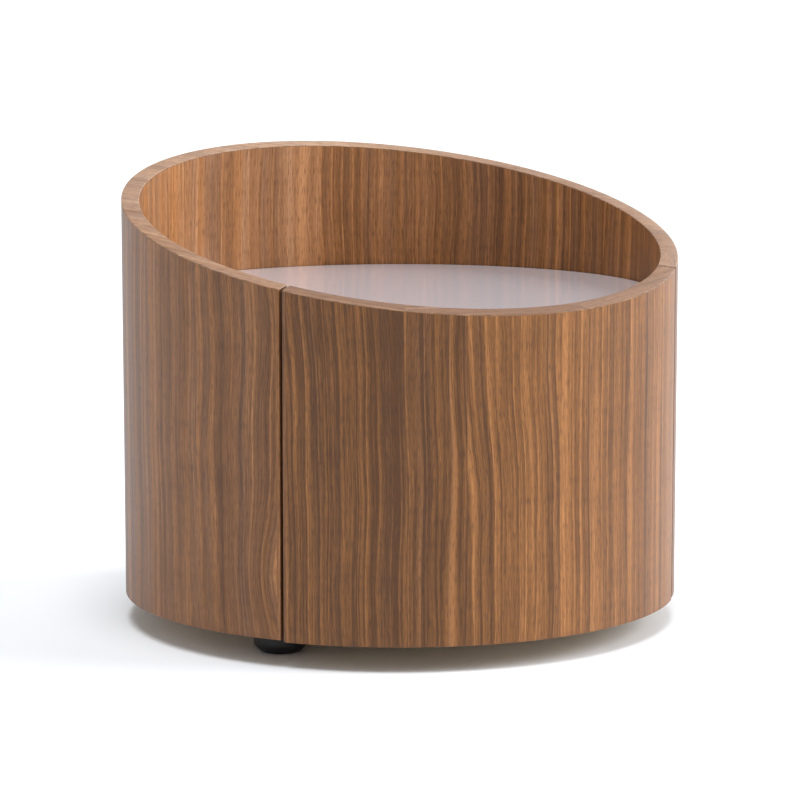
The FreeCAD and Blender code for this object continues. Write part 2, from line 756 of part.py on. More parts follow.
# Push latch in the rear divider, and the plate that it pushes against.
make_latch()
latch_hole = doc.addObject("Part::Cylinder", "latch_hole")
latch_hole.setExpression("Radius", bound("latch_barrel + drill_gap"))
latch_hole.setExpression("Height", bound("latch_length"))
latch_hole.Placement = place(0, SIZE["divider_front"] - 1, SIZE["latch_height"], (1, 0, 0), -90)
drilled("rear_divider", divider, post_holes, latch_hole)
strike = block(
    "strike_plate",
    "-strike_half",
    "strike_half",
    "box_rear",
    "box_rear + strike",
    "latch_height - strike_half",
    "strike_half * 2",
)
strike_screw, strike_drill = screw("strike_screw", *SCREWS["strike_screw"])
strike_face = SIZE["box_rear"] + SIZE["strike"]
strike_spots = [place(x, strike_face, SIZE["latch_height"], (1, 0, 0), -90) for x in STRIKE_SCREWS_X]
group("strike_screws", strike_screw, strike_spots)
strike_holes = group("strike_holes", strike_drill, strike_spots)
drilled("strike_plate", strike, strike_holes)

# Drawer box: the back is dowelled between the sides, and battens screw the sides to the curved front.
box_dowel, box_dowel_drill = rod("box_dowel", "box_dowel", "box_dowel_length")
rear_y = SIZE["box_rear"] - SIZE["box_side"] / 2
box_spots = []
for side in (-1, 1):
    x = side * (box_inner - SIZE["box_dowel_start"])
    box_spots += [place(x, rear_y, z, (0, 1, 0), 90 * side) for z in BOX_DOWELS_Z]
group("drawer_dowels", box_dowel, box_spots)
box_holes = group("drawer_dowel_holes", box_dowel_drill, box_spots)
batten_screw, batten_drill = screw("batten_screw", *SCREWS["batten_screw"])
batten_spots = []
for side in (-1, 1):
    x = side * (box_inner - SIZE["batten"] / 2)
    batten_spots += [place(x, -SIZE["batten_rear"], z, (1, 0, 0), -90) for z in FRONT_SCREWS_Z]
    x = side * (box_inner - SIZE["batten"])
    y = -SIZE["batten_rear"] - SIDE_SCREW_SETBACK
    batten_spots += [sideways(x, y, z, side) for z in SIDE_SCREWS_Z]
group("batten_screws", batten_screw, batten_spots)
batten_holes = group("batten_holes", batten_drill, batten_spots)
for name, side in SIDES.items():
    drilled("drawer_side_" + name, make_drawer_side(name, side), box_holes, inner_holes, batten_holes)
    drilled("front_batten_" + name, make_batten(name, side), batten_holes)
drilled("drawer_back", make_drawer_back(), box_holes, strike_holes)
make_drawer_bottom()
drilled("drawer_front", doc.getObject("drawer_front"), batten_holes)

# Three feet, each held by one screw from below.
foot_screw, foot_drill = pan_screw("foot_screw", *FOOT_SCREW)
for name, angle in FOOT_ANGLES.items():
    make_foot("foot_" + name, angle)
foot_spots = [foot_spot(angle, SIZE["sink_depth"]) for angle in FOOT_ANGLES.values()]
group("foot_screws", foot_screw, foot_spots)
foot_holes = group("foot_screw_holes", foot_drill, foot_spots)

drilled("curved_shell", shell, ring_holes)
drilled("base_panel", base, ring_holes, post_holes, foot_holes)
drilled("top_board", top, ring_holes, post_holes)

NODES = """
    curved_shell shell_rim_band shell_lipping_left shell_lipping_right
    base_panel top_board glass_top glass_pads rear_divider
    partition_left partition_right partition_edge_left partition_edge_right
    shell_dowels carcass_dowels runner_screws_carcass
    foot_front_left foot_front_right foot_rear foot_screws
    latch_body latch_spring latch_plunger latch_tip
    runner_outer_left runner_outer_right runner_middle_left runner_middle_right
    runner_inner_left runner_inner_right outer_cage_left outer_cage_right inner_cage_left inner_cage_right
    outer_balls_left outer_balls_right inner_balls_left inner_balls_right
    drawer_front front_rim_band front_lipping_left front_lipping_right
    drawer_side_left drawer_side_right drawer_back drawer_bottom front_batten_left front_batten_right
    batten_screws drawer_dowels runner_screws_drawer strike_plate strike_screws
""".split()

doc.recompute()
for item in doc.Objects:
    if "Invalid" in item.State or "Error" in item.State:
        raise RuntimeError(f"{item.Label} failed: {item.State}")

os.makedirs("parts", exist_ok=True)
for node in NODES:
    piece = doc.getObjectsByLabel(node)[0]
    shape = piece.Shape
    if shape.isNull() or not shape.isValid() or not shape.Solids:
        raise RuntimeError(f"{node} has no valid solid")
    shape.exportStep(f"parts/{node}.step")
    print(f"{node}: {len(shape.Solids)} solids, {shape.Volume / 1000:.1f} cm3")
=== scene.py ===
import json
import math

import bpy
import numpy as np
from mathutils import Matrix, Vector


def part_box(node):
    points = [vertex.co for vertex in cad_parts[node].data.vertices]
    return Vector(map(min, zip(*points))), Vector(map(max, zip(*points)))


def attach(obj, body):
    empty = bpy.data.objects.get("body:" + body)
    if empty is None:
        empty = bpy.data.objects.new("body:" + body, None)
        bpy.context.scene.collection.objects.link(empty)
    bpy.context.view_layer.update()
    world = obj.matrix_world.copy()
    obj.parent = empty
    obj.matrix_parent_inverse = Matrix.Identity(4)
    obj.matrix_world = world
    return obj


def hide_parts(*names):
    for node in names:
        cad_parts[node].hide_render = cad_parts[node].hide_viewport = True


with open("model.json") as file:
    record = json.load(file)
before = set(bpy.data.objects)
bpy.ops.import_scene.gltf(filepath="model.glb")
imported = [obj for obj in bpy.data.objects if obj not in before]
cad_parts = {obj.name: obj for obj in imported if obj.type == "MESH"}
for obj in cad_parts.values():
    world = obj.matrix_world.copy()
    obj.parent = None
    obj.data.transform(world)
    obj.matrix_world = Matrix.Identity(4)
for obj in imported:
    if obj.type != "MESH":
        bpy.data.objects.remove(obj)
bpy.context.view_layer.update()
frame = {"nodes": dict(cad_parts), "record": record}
nodes = frame["nodes"]
print("frame loaded:", len(nodes), "nodes")

# lengths are in metres; angles are in degrees from the middle of the drawer front, growing towards +X
cabinet = {
    "wall": 0.016,
    "rimBand": 0.001,
    "lipping": 0.003,
    "seamHalf": 50.5,
    "seamGap": 0.6,
}
shellLow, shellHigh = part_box("curved_shell")
frontLow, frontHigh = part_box("drawer_front")
outerRadius = round(shellHigh.y, 4)
innerRadius = outerRadius - cabinet["wall"]
# the highest rearmost corners of both walls lie on one slanted plane, a veneer's thickness under the rim
slope = (shellHigh.z - frontHigh.z) / (shellHigh.y - frontHigh.y)
bandRise = cabinet["rimBand"] * math.hypot(1, slope)
rimOnAxis = shellHigh.z - slope * shellHigh.y + bandRise
shellEdge = cabinet["seamHalf"] + cabinet["seamGap"] / 2
frontEdge = cabinet["seamHalf"] - cabinet["seamGap"] / 2
lipAngle = math.degrees(cabinet["lipping"] / outerRadius)


def quarterTurn(steps):
    return np.radians(np.linspace(0, 90, steps))


def quarterRound(distance, radius):
    # how far a rounded edge falls back at a distance from it: r - sqrt(r^2 - (r - d)^2)
    reach = np.clip(radius - distance, 0, radius)
    return radius - np.sqrt(radius**2 - reach**2)


def makeMesh(name, points, faces, sharp=40):
    mesh = bpy.data.meshes.new(name)
    mesh.from_pydata(np.asarray(points, float).reshape(-1, 3), [], faces)
    mesh.polygons.foreach_set("use_smooth", np.ones(len(faces), bool))
    mesh.set_sharp_from_angle(angle=math.radians(sharp))
    piece = bpy.data.objects.new(name, mesh)
    bpy.context.scene.collection.objects.link(piece)
    return piece


def gridQuads(rows, columns, closedRows=False):
    # quads between neighbouring rows and columns of points; the columns always close on themselves
    row = np.arange(rows if closedRows else rows - 1)[:, None]
    column = np.arange(columns)[None, :]
    nextRow, nextColumn = (row + 1) % rows * columns, (column + 1) % columns
    row = row * columns
    four = np.broadcast_arrays(row + column, nextRow + column, nextRow + nextColumn, row + nextColumn)
    return np.stack(four, -1)


def makeStrip(name, points, sharp=40):
    # rows of a closed section joined by quads, with a flat cap on each end
    rows, columns = points.shape[:2]
    firstCap = list(range(columns))
    lastCap = list(range((rows - 1) * columns, rows * columns))[::-1]
    quads = gridQuads(rows, columns).reshape(-1, 4).tolist()
    return makeMesh(name, points, [*quads, firstCap, lastCap], sharp)


def turnedFaces(rows, columns, inward=False):
    # quads between the profiles of a turned shape, then a flat cap on its first circle and on its last
    quads = gridQuads(rows, columns, closedRows=True)[:, :-1].reshape(-1, 4).tolist()
    ring = np.arange(rows) * columns
    faces = [*quads, ring[::-1].tolist(), (ring + columns - 1).tolist()]
    return [face[::-1] for face in faces] if inward else faces


def setUv(piece, name, pairs):
    # one pair of values for each face corner, in face order; the end caps come last and get zeros
    layer = piece.data.uv_layers.new(name=name)
    values = np.zeros(len(piece.data.loops) * 2, np.float32)
    pairs = np.asarray(pairs, np.float32).reshape(-1)
    values[: len(pairs)] = pairs
    layer.data.foreach_set("uv", values)


def setMaterials(piece, materials, index=()):
    for material in materials:
        piece.data.materials.append(material)
    values = np.zeros(len(piece.data.polygons), np.int32)
    values[: len(index)] = index
    piece.data.polygons.foreach_set("material_index", values)


def belongs(piece, body, slotName, *replaced):
    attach(piece, body)
    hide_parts(*replaced)


# nodes of a material


def newMaterial(name, **sockets):
    material = bpy.data.materials.new(name)
    material.use_nodes = True
    shader = material.node_tree.nodes["Principled BSDF"]
    for socket, value in sockets.items():
        shader.inputs[socket.replace("_", " ")].default_value = value
    return material, material.node_tree, shader


def put(tree, kind, inputs, **settings):
    # one node with its settings; each input is a value or the output that feeds it
    node = tree.nodes.new("ShaderNode" + kind)
    for key, value in settings.items():
        setattr(node, key, value)
    for key, value in inputs.items():
        if isinstance(value, bpy.types.NodeSocket):
            tree.links.new(value, node.inputs[key])
        else:
            node.inputs[key].default_value = value
    return node


def objectPlace(tree):
    return put(tree, "TexCoord", {}).outputs["Object"]


def noise(tree, vector, scale, detail=2.0, roughness=0.5, shift=(0, 0, 0)):
    moved = put(tree, "Mapping", {"Vector": vector, "Location": shift, "Scale": scale}).outputs[0]
    inputs = {"Vector": moved, "Scale": 1.0, "Detail": detail, "Roughness": roughness}
    return put(tree, "TexNoise", inputs).outputs["Fac"]


def maths(tree, operation, a, b=0.0, c=0.0):
    return put(tree, "Math", {0: a, 1: b, 2: c}, operation=operation).outputs[0]


def rerange(tree, value, low, high, newLow=0.0, newHigh=1.0):
    inputs = {"Value": value, "From Min": low, "From Max": high, "To Min": newLow, "To Max": newHigh}
    return put(tree, "MapRange", inputs).outputs["Result"]


def ramp(tree, value, stops):
    node = put(tree, "ValToRGB", {"Fac": value})
    elements = node.color_ramp.elements
    while len(elements) < len(stops):
        elements.new(0.5)
    for element, (position, colour) in zip(elements, stops):
        element.position = position
        element.color = (*colour, 1)
    return node.outputs["Color"]


def blend(tree, factor, a, b):
    # 6 and 7 are the colour inputs of the mix node, and 2 is its colour output
    return put(tree, "Mix", {0: factor, 6: a, 7: b}, data_type="RGBA").outputs[2]


def bump(tree, shader, height, depth, strength=1.0):
    node = put(tree, "Bump", {"Height": height, "Distance": depth, "Strength": strength})
    tree.links.new(node.outputs["Normal"], shader.inputs["Normal"])


def everyOther(tree, across, thickness, low, high):
    # 1 in every other layer of this thickness and 0 in the layers between; low and high soften the border
    count = maths(tree, "FRACT", maths(tree, "MULTIPLY", across, 0.5 / thickness))
    return rerange(tree, maths(tree, "ABSOLUTE", maths(tree, "SUBTRACT", count, 0.5)), low, high)


def dimmed(colour, shares):
    return tuple(channel * share for channel, share in zip(colour, shares))


walnutLook = {
    "upright": False,  # whether it is a strip with no map of its own, whose grain climbs
    "coolDark": (0.090, 0.039, 0.019),
    "coolMid": (0.180, 0.083, 0.040),
    "coolLight": (0.320, 0.160, 0.078),
    "coolPale": (0.450, 0.245, 0.130),
    "warmDark": (0.105, 0.038, 0.008),
    "warmMid": (0.255, 0.101, 0.026),
    "warmLight": (0.470, 0.197, 0.062),
    "warmPale": (0.600, 0.275, 0.105),
    "darkest": 0.405,  # the sums of the grain's layers that give the darkest and the palest tone
    "palest": 0.665,
    "heat": 0.35,  # how far warmth varies within a leaf
    "pore": (0.040, 0.017, 0.010),
    "porousness": 0.43,
    "poreStart": 0.52,  # the noise between which a pore goes from nothing to full
    "poreFull": 0.68,
    "rings": 100.0,  # growth rings in a metre
    "ringDrift": 3.0,  # rings by which their spacing drifts
    "stray": 0.0008,  # how far a line strays from its path
    "glow": 0.75,  # how much one broad streak shows, and how light it is
    "glowTone": 0.66,
    "glowPlace": 0.1770,  # where it runs across the grain
    "glowWidth": 0.0085,  # half its width at the floor
    "glowTip": 0.0003,  # and at its tip, which is at glowReach
    "glowReach": 0.28,
    "roughLow": 0.38,
    "roughHigh": 0.52,
    "relief": 0.00008,
}
# noises laid along the grain: scale across and along it, detail, roughness and shift
grainNoises = {
    "zones": ((24, 0.7, 1), 2.0, 0.5),
    "bands": ((110, 1.3, 1), 2.0, 0.6, (7.3, 0, 0)),
    "streaks": ((380, 3.5, 1), 3.0, 0.7, (4.9, 0, 0)),
    "fibres": ((1500, 34, 1), 2.0, 0.65, (3.1, 0, 0)),
    "figure": ((22, 30, 1), 3.0, 0.6, (1.7, 0, 0)),
    "drift": ((45, 0.7, 1), 2.0, 0.5, (2.2, 0, 0)),
    "heat": ((70, 0.7, 1), 2.0, 0.5, (11, 0, 0)),
    "pores": ((1500, 105, 1), 1.0, 0.5, (5, 0, 0)),
}
# how much each layer counts in the tone
grainShares = {"zones": 0.13, "bands": 0.28, "streaks": 0.25, "fibres": 0.22, "figure": 0.05, "ring": 0.11}
# lightness from the start of a growth ring to its end, and tones from dark to pale
ringShades = ((0.0, 1.0), (0.16, 0.5), (0.7, 0.38), (0.9, 0.0), (1.0, 0.9))
toneStops = ((0.0, "Dark"), (0.385, "Mid"), (0.77, "Light"), (1.0, "Pale"))


def grainAxes(tree, look):
    # the grain's two axes, and the warmth and lightness of each leaf; on an upright strip x and y both run
    # across the grain
    if look["upright"]:
        place = put(tree, "SeparateXYZ", {"Vector": objectPlace(tree)}).outputs
        flat = maths(tree, "ADD", place["X"], place["Y"])
        grain = put(tree, "CombineXYZ", {"X": flat, "Y": place["Z"]}).outputs["Vector"]
        tone = put(tree, "CombineXYZ", {"X": 0.5, "Y": 0.0}).outputs["Vector"]
    else:
        grain = put(tree, "UVMap", {}, uv_map="grain").outputs["UV"]
        tone = put(tree, "UVMap", {}, uv_map="tone").outputs["UV"]
    return grain, put(tree, "SeparateXYZ", {"Vector": tone}).outputs


def glowing(tree, look, across, up, light):
    # one broad even streak, narrower as it climbs: light moves part of the way to the streak's own tone
    aside = maths(tree, "ABSOLUTE", maths(tree, "SUBTRACT", across, look["glowPlace"]))
    width = rerange(tree, up, 0.0, look["glowReach"], look["glowWidth"], look["glowTip"])
    glow = rerange(tree, maths(tree, "DIVIDE", aside, width), 1.0, 0.3, 0.0, look["glow"])
    return maths(tree, "MULTIPLY_ADD", glow, maths(tree, "SUBTRACT", look["glowTone"], light), light)


def walnut(name, look):
    # colour runs from dark to light on a sum of zones, bands, streaks, growth rings and fibres across the
    # grain; a ring starts with a thin pale line and darkens to its end; pores are short dashes along it
    material, tree, shader = newMaterial(name, IOR=1.4, Coat_Weight=0.04, Coat_Roughness=0.25)
    grain, tone = grainAxes(tree, look)
    straight = put(tree, "SeparateXYZ", {"Vector": grain}).outputs
    wander = noise(tree, grain, (40, 9, 1), 2.0, 0.5)
    stray = rerange(tree, wander, 0.25, 0.75, -look["stray"], look["stray"])
    across = maths(tree, "ADD", straight["X"], stray)
    grain = put(tree, "CombineXYZ", {"X": across, "Y": straight["Y"]}).outputs["Vector"]
    layers = {key: noise(tree, grain, *settings) for key, settings in grainNoises.items()}
    drift = maths(tree, "MULTIPLY", layers["drift"], look["ringDrift"])
    phase = maths(tree, "FRACT", maths(tree, "MULTIPLY_ADD", across, look["rings"], drift))
    ring = ramp(tree, phase, [(place, (value,) * 3) for place, value in ringShades])
    layers["ring"] = maths(tree, "MULTIPLY", ring, tone["X"])  # rings show most on the warm leaves
    # the sum starts from the leaf's light, which on some leaves and on the rim's back holds painted light
    # and shade
    total = tone["Y"]
    for layer, share in grainShares.items():
        total = maths(tree, "MULTIPLY_ADD", layers[layer], share, total)
    light = rerange(tree, total, look["darkest"], look["palest"])
    light = glowing(tree, look, across, straight["Y"], light)
    cool = ramp(tree, light, [(place, look["cool" + tint]) for place, tint in toneStops])
    warm = ramp(tree, light, [(place, look["warm" + tint]) for place, tint in toneStops])
    heat = rerange(tree, layers["heat"], 0.35, 0.65, -look["heat"], look["heat"])
    warmth = rerange(tree, maths(tree, "ADD", heat, tone["X"]), 0.0, 1.0)
    dashes = rerange(tree, layers["pores"], look["poreStart"], look["poreFull"])
    darkening = maths(tree, "MULTIPLY", dashes, look["porousness"])
    colour = blend(tree, darkening, blend(tree, warmth, cool, warm), (*look["pore"], 1))
    tree.links.new(colour, shader.inputs["Base Color"])
    rough = rerange(tree, layers["fibres"], 0.3, 0.7, look["roughLow"], look["roughHigh"])
    tree.links.new(rough, shader.inputs["Roughness"])
    threads = maths(tree, "MULTIPLY", layers["fibres"], 0.4)
    bump(tree, shader, maths(tree, "MULTIPLY_ADD", dashes, -1.0, threads), look["relief"], 0.5)
    return material


# the rim's palette is paler than the walls': partly the band's own veneer, partly painted light for a top
# that faces up to the lamps
rimLook = {
    **walnutLook,
    "coolDark": (0.190, 0.110, 0.075),
    "coolMid": (0.315, 0.192, 0.130),
    "coolLight": (0.440, 0.292, 0.205),
    "coolPale": (0.510, 0.350, 0.255),
    "warmDark": (0.200, 0.098, 0.050),
    "warmMid": (0.330, 0.178, 0.098),
    "warmLight": (0.470, 0.280, 0.165),
    "warmPale": (0.540, 0.340, 0.210),
    "pore": (0.100, 0.052, 0.032),
    "porousness": 0.6,
}
lippingLook = {**walnutLook, "rings": 60.0}
wallVeneer = walnut("wallVeneer", walnutLook)
rimVeneer = walnut("rimVeneer", rimLook)
solidWalnut = walnut("solidWalnut", lippingLook)

plyLook = {
    "sheets": ((0.60, 0.42, 0.26), (0.72, 0.55, 0.37)),
    "ends": ((0.30, 0.17, 0.09), (0.42, 0.26, 0.15)),
    "sheetThickness": 0.0015,
}


def bentPly(name, look):
    # on a cut edge, the first grain axis crosses the sheets and the second runs along the edge: every other
    # sheet shows its end grain, darker and pitted
    material, tree, shader = newMaterial(name, Roughness=0.6)
    grain = put(tree, "UVMap", {}, uv_map="grain").outputs["UV"]
    across = put(tree, "SeparateXYZ", {"Vector": grain}).outputs["X"]
    isEnd = everyOther(tree, across, look["sheetThickness"], 0.22, 0.28)
    streak = noise(tree, grain, (900, 60, 1), 2.0, 0.6)
    pits = noise(tree, grain, (1800, 1500, 1), 1.0, 0.5)
    sheet = ramp(tree, streak, [(0.3, look["sheets"][0]), (0.7, look["sheets"][1])])
    end = ramp(tree, pits, [(0.35, look["ends"][0]), (0.65, look["ends"][1])])
    tree.links.new(blend(tree, isEnd, sheet, end), shader.inputs["Base Color"])
    bump(tree, shader, maths(tree, "MULTIPLY", pits, isEnd), 0.0002, 0.6)
    return material


wallEdge = bentPly("wallEdge", plyLook)
print("veneers ready")

# Each leaf of veneer begins at start. heart is where the log's centre lies across the leaf, depth how far
# behind the leaf it lies at the floor, and lean how fast that grows with height. sway is how far the lines
# wander. knot gives its place across and up, its width and height, and how far it pushes the lines.
# warmth and light set the leaf's tone; on some leaves light also carries painted light and shade, noted at
# each list.
plainLeaf = {
    "heart": -0.25,
    "depth": 0.10,
    "lean": 0.05,
    "sway": 0.0012,
    "warmth": 0.6,
    "light": 0.0,
    "knot": (0, 0, 1, 1, 0),
}
outerLeaves = [
    # painted shade, partly: the two leaves on the left and middle of the drawer front are set darker for the
    # dim light the front gets
    {"start": -50.5, "heart": -0.03, "depth": 0.0, "lean": 0.09, "sway": 0.001,
     "warmth": 1.0, "light": -0.072},
    {"start": -14.0, "heart": -0.06, "depth": 0.0, "lean": 0.13, "sway": 0.0014,
     "warmth": 1.0, "light": -0.022},
    {"start": 6.0, "heart": -0.40, "lean": 0.03, "sway": 0.0006, "warmth": 0.95, "light": -0.004},
    {"start": 50.5, "heart": -0.20, "warmth": 0.55},
    {"start": 92.0, "heart": 0.09, "depth": 0.0, "sway": 0.0022, "warmth": 0.45},
    {"start": 135.0, "heart": 0.10, "depth": 0.0, "lean": 0.06, "sway": 0.0024,
     "warmth": 0.4, "light": -0.01},
    {"start": 178.0, "heart": 0.08, "depth": 0.0, "sway": 0.0024, "warmth": 0.38},
    {"start": 221.0, "heart": -0.15, "depth": 0.05, "warmth": 0.30},
    {"start": 256.0, "heart": -0.22, "depth": 0.06, "lean": 0.04, "warmth": 0.50, "light": 0.003},
    {"start": 289.0, "heart": -0.09, "depth": 0.02, "sway": 0.0020, "warmth": 0.50, "light": -0.002,
     "knot": (0.078, 0.075, 0.020, 0.045, 0.010)},
]
innerLeaves = [
    {"start": -50.5, "heart": -0.30, "warmth": 0.75, "light": 0.02},
    {"start": -5.0, "heart": -0.28, "warmth": 0.75, "light": 0.02},
    {"start": 50.5, "warmth": 0.70, "light": 0.0},
    {"start": 98.0, "heart": -0.30, "lean": 0.04, "warmth": 0.75, "light": -0.02},
    {"start": 136.0, "heart": -0.22, "sway": 0.0016, "warmth": 0.85, "light": 0.010},
    # painted light: these three leaves on the inner back and left wall are raised in light to stand in for
    # the key lamp's lit patch
    {"start": 172.0, "heart": -0.26, "lean": 0.04, "warmth": 0.42, "light": 0.106},
    {"start": 205.0, "heart": -0.24, "lean": 0.04, "warmth": 0.55, "light": 0.110},
    {"start": 250.0, "heart": -0.24, "lean": 0.04, "warmth": 0.55, "light": 0.110},
]
leafSpread = 1.71  # sets the leaves far apart in the pattern, so that no two match
# each slow wave's size, how fast it turns up the leaf and across it, and its shift from leaf to leaf
slowWaves = ((1.0, 21, 9, 1.9), (0.5, 47, -23, 4.1))


def leafAt(leaves, angle):
    # which leaf covers each angle, and that leaf's values
    which = np.searchsorted([leaf["start"] for leaf in leaves], angle, side="right") - 1
    return which, {key: np.array([leaf[key] for leaf in leaves])[which] for key in leaves[0]}


def leafGrain(angle, middle, radius, height, leaves):
    # distance from the log's centre, sqrt((across - heart)^2 + (depth + lean * height)^2), plus slow sine
    # waves, plus a bump round a knot: push * exp(-(across / width)^2 - (height / tallness)^2) from its place
    which, value = leafAt([{**plainLeaf, **leaf} for leaf in leaves], middle)
    across = np.radians(angle - value["start"]) * radius
    wander = 0.0
    for size, climb, aside, shift in slowWaves:
        wander = wander + size * np.sin(height * climb + across * aside + which * shift)
    reach = np.hypot(across - value["heart"], value["depth"] + value["lean"] * height)
    knotAcross, knotUp, width, tallness, push = np.moveaxis(value["knot"], -1, 0)
    knot = push * np.exp(-(((across - knotAcross) / width) ** 2) - ((height - knotUp) / tallness) ** 2)
    reach = reach + value["sway"] * wander + knot
    grain = np.stack([reach + which * leafSpread, height + which * leafSpread], -1)
    return grain, np.stack([value["warmth"], value["light"]], -1)


wallShape = {
    "levels": 36,  # rows of points up the wall, and the degrees between one column and the next
    "step": 1.0,
    "footEase": 0.0006,  # round on the lower edges
    "easeSteps": 5,
    "lipRound": 0.0007,  # round on the lippings' upright outer edges
    "lipSteps": 15,
    "frontCorner": 0.0024,  # round on the lower corners of the drawer front
}


def wallSection():
    # closed outline of a wall cut through: radius, level from 0 at the foot to 1 under the band, and lift
    # off the foot; kind, of the stretch after each point, is 0 outside, 1 inside and 2 on the edges
    ease = wallShape["footEase"]
    turn = quarterTurn(wallShape["easeSteps"])
    level = np.linspace(0, 1, wallShape["levels"])
    outside = np.stack([outerRadius + 0 * level, level, ease * (1 - level)], 1)
    inside = outside[::-1] * [innerRadius / outerRadius, 1, 1]
    rise, run = ease * (1 - np.sin(turn)), ease * (1 - np.cos(turn))
    innerTurn = np.stack([innerRadius + run, 0 * turn, rise], 1)[1:]
    outerTurn = np.stack([outerRadius - rise, 0 * turn, run], 1)[:-1]
    side = len(outside) - 1
    kind = [0] * side + [2] + [1] * (side + len(innerTurn)) + [2] + [0] * len(outerTurn)
    return np.concatenate([outside, inside, innerTurn, outerTurn]), np.array(kind)


def carryRound(angle, section, foot, pullOut=0.0, pullIn=0.0, footUp=0.0, topDown=0.0):
    # x = r sin a, y = -r cos a, and z goes from the foot to the slanted rim, which is rimOnAxis + slope * y
    radius, level, lift = section.T
    outside = radius > (outerRadius + innerRadius) / 2
    radius = radius - np.where(outside, pullOut, -pullIn)
    x, y = radius * np.sin(np.radians(angle)), -radius * np.cos(np.radians(angle))
    top = rimOnAxis + slope * y - bandRise - topDown
    return np.stack([x, y, (foot + footUp) * (1 - level) + top * level + lift], -1)


def corners(values):
    # the values at the four corners of every quad of gridQuads
    ahead = np.roll(values, -1, axis=1)
    return np.stack([values[:-1], values[1:], ahead[1:], ahead[:-1]], 2)


def wallGrain(piece, angle, points, kind, faceLeaves):
    # faces take the leaves' grain; edges count the distance across the wall and along it
    angles = corners(np.broadcast_to(angle[:, None], points.shape[:2]))
    middle = np.broadcast_to(angles.mean(2, keepdims=True), angles.shape)
    height = corners(points[..., 2])
    radius = corners(np.hypot(points[..., 0], points[..., 1]))
    grain = np.stack([radius, np.radians(angles) * outerRadius], -1)
    tone = np.zeros_like(grain)
    for side, (leaves, reach) in enumerate(faceLeaves):
        ownGrain, ownTone = leafGrain(angles, middle, reach, height, leaves)
        here = (kind == side)[None, :, None, None]
        grain = np.where(here, ownGrain, grain)
        tone = np.where(here, ownTone, tone)
    setUv(piece, "grain", grain)
    setUv(piece, "tone", tone)
    return np.broadcast_to((kind == 2).astype(int), angles.shape[:2]).reshape(-1)


wallLeaves = ((outerLeaves, outerRadius), (innerLeaves, innerRadius))


def roundWall(name, start, end, foot, body, node):
    # the wall's section carried round, with a row of points on every joint between leaves
    joints = {leaf["start"] for leaf in outerLeaves + innerLeaves if start < leaf["start"] < end}
    even = np.linspace(start, end, round((end - start) / wallShape["step"]) + 1)
    angle = np.unique([*even, *joints])
    section, kind = wallSection()
    points = carryRound(angle[:, None], section, foot)
    piece = makeStrip(name, points)
    index = wallGrain(piece, angle, points, kind, wallLeaves)
    setMaterials(piece, [wallVeneer, wallEdge], index)
    belongs(piece, body, "walnut", node)


shellStart, frontReach = shellEdge + lipAngle, frontEdge - lipAngle
roundWall("shellWall", shellStart, 360 - shellStart, shellLow.z, "cabinet", "curved_shell")
roundWall("frontWall", -frontReach, frontReach, frontLow.z, "drawer", "drawer_front")
print("walls ready")

lippingLeaf = [{"start": -360.0, "depth": 0.4, "lean": 0.02, "sway": 0.0004, "warmth": 0.4}]


def endFaceGrain(piece, points):
    # each end cap is flat: across is the radius and along is the height
    caps = np.concatenate([points[0], points[-1][::-1]])
    flat = np.stack([np.hypot(caps[:, 0], caps[:, 1]) + leafSpread, caps[:, 2]], -1)
    tone = np.zeros_like(flat) + [lippingLeaf[0]["warmth"], 0.0]
    for name, values in (("grain", flat), ("tone", tone)):
        layer = piece.data.uv_layers[name]
        whole = np.zeros(len(piece.data.loops) * 2, np.float32)
        layer.data.foreach_get("uv", whole)
        whole[-flat.size :] = values.reshape(-1)
        layer.data.foreach_set("uv", whole)


def lipping(name, end, inward, foot, body, node, cornerRound):
    # the wall's section over the strip's few millimetres; near its end the outer edge falls back by a
    # quarter round, and so does the lower corner
    distance = cabinet["lipping"] * (1 - np.sin(quarterTurn(wallShape["lipSteps"])))
    angle = end + inward * np.degrees(distance / outerRadius)
    order = slice(None, None, -inward)  # the rows run with the angle on every strip
    angle, distance = angle[order], distance[order, None]
    section, kind = wallSection()
    pullOut = quarterRound(distance, wallShape["lipRound"])
    pullIn = quarterRound(distance, wallShape["footEase"])
    footUp = quarterRound(distance, cornerRound)
    points = carryRound(angle[:, None], section, foot, pullOut, pullIn, footUp)
    piece = makeStrip(name, points, sharp=60)
    wallGrain(piece, angle, points, kind, ((lippingLeaf, outerRadius), (lippingLeaf, innerRadius)))
    endFaceGrain(piece, points)
    setMaterials(piece, [solidWalnut])
    belongs(piece, body, "walnut_lipping", node)


for side, sign in (("left", -1), ("right", 1)):
    shellEnd = shellEdge if sign > 0 else 360 - shellEdge
    frontEnd = sign * frontEdge
    ease, corner = wallShape["footEase"], wallShape["frontCorner"]
    lipping(f"{side}ShellLipping", shellEnd, sign, shellLow.z, "cabinet", f"shell_lipping_{side}", ease)
    lipping(f"{side}FrontLipping", frontEnd, -sign, frontLow.z, "drawer", f"front_lipping_{side}", corner)
print("lippings ready")

# the rim's veneer is laid in lengths; direction is the way its grain runs, from +X towards +Y
rimLengths = [
    {"start": -50.5, "direction": -38, "warmth": 0.80, "light": -0.075},
    {"start": -26.0, "direction": -4, "warmth": 0.80, "light": -0.075},
    {"start": 12.0, "direction": 24, "warmth": 0.80, "light": -0.060},
    {"start": 50.5, "direction": 62, "warmth": 0.35, "light": 0.03},
    {"start": 60.0, "direction": -32, "warmth": 0.42, "light": 0.016},
    {"start": 266.0, "direction": -52, "warmth": 0.85, "light": 0.0},
]
rimShape = {
    "step": 1.0,
    "round": 0.0009,  # on the band's long edges, and on its ends
    "endRound": 0.0018,
    "arcSteps": 7,
    "edgeWarmth": 0.9,  # tone of the edges
    "edgeDark": -0.07,
    "paintedBackLight": 0.090,  # painted light: how much paler the band's top is painted at the back
}


